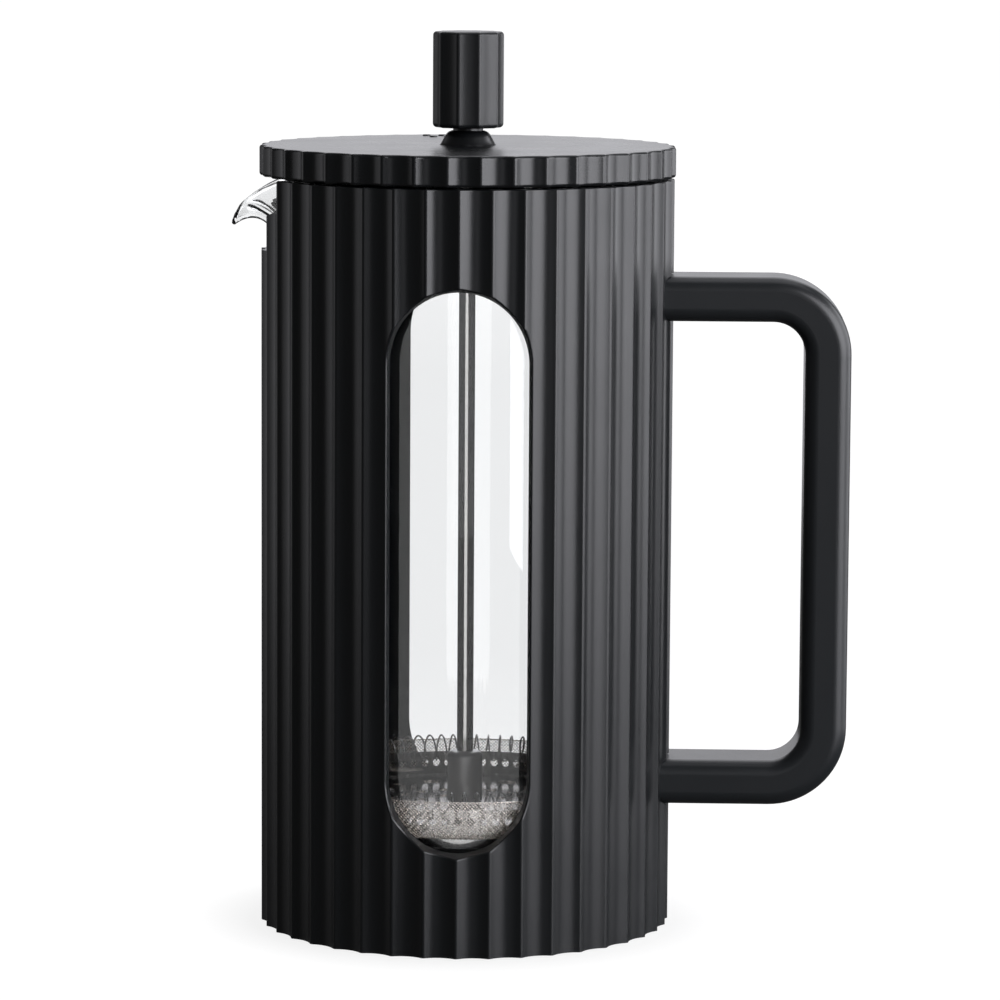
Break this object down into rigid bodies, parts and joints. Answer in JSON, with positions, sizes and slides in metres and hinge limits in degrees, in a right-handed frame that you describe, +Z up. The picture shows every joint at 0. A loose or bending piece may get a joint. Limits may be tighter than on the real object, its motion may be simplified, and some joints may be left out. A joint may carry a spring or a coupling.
{
  "type": "french press",
  "caption": "Coffee press with a fluted casing, a window front and back, a spouted glass beaker, a D handle, a fluted lid and a plunger with a perforated plate, rim spring and mesh screen.",
  "frame": {"origin": "centre of the base pad's underside, on the beaker's axis, on the table", "axes": "+Z up along the beaker's axis, +X towards the handle, -X towards the spout, -Y to the front window"},
  "size_m": [0.1592, 0.1064, 0.2303],
  "materials": {
    "casing_plastic": "satin moulded black",
    "handle_plastic": "satin moulded black",
    "lid_plastic": "satin moulded black",
    "knob_plastic": "satin moulded black",
    "collar_plastic": "satin black",
    "bush_plastic": "natural acetal",
    "silicone": "dark grey silicone",
    "glass": "clear, fire-polished rim",
    "steel_sheet": "polished stainless sheet",
    "steel_bright": "bright drawn stainless",
    "steel_mesh": "fine woven stainless mesh",
    "hub_steel": "dark satin",
    "brass": "turned"
  },
  "bodies": {
    "casing": {"casing": "casing_plastic", "base_pad": "silicone", "cushion_ring": "silicone", "handle": "handle_plastic", "handle_inserts": "brass", "handle_screws": "steel_bright"},
    "beaker": {"beaker": "glass"},
    "gasket": {"lid_gasket": "silicone"},
    "lid": {"lid_cover": "lid_plastic", "lid_insert": "steel_sheet", "lid_collar": "collar_plastic", "collar_nut": "steel_bright", "collar_washer": "steel_bright"},
    "bush": {"rod_bush": "bush_plastic"},
    "plunger": {"knob": "knob_plastic", "knob_insert": "brass", "stop_washer": "collar_plastic", "plunger_rod": "steel_bright", "rod_hub": "hub_steel", "spiral_plate": "steel_sheet", "garter_spring": "steel_bright", "mesh_screen": "steel_mesh", "cross_plate": "steel_sheet", "lock_washer": "steel_bright", "clamp_nut": "steel_bright"}
  },
  "joints": [
    {"name": "beaker_lift", "type": "slide", "parent": "casing", "child": "beaker", "axis": [0, 0, 1], "range_m": [0, 0.19]},
    {"name": "lid_lift", "type": "slide", "parent": "beaker", "child": "gasket", "axis": [0, 0, 1], "range_m": [0, 0.18]},
    {"name": "lid_turn", "type": "hinge", "parent": "gasket", "child": "lid", "pos_m": [0, 0, 0.182], "axis": [0, 0, 1], "continuous": true},
    {"name": "plunger_turn", "type": "hinge", "parent": "lid", "child": "bush", "pos_m": [0, 0, 0.189], "axis": [0, 0, 1], "continuous": true},
    {"name": "plunger_slide", "type": "slide", "parent": "bush", "child": "plunger", "axis": [0, 0, 1], "range_m": [0, 0.135]}
  ]
}
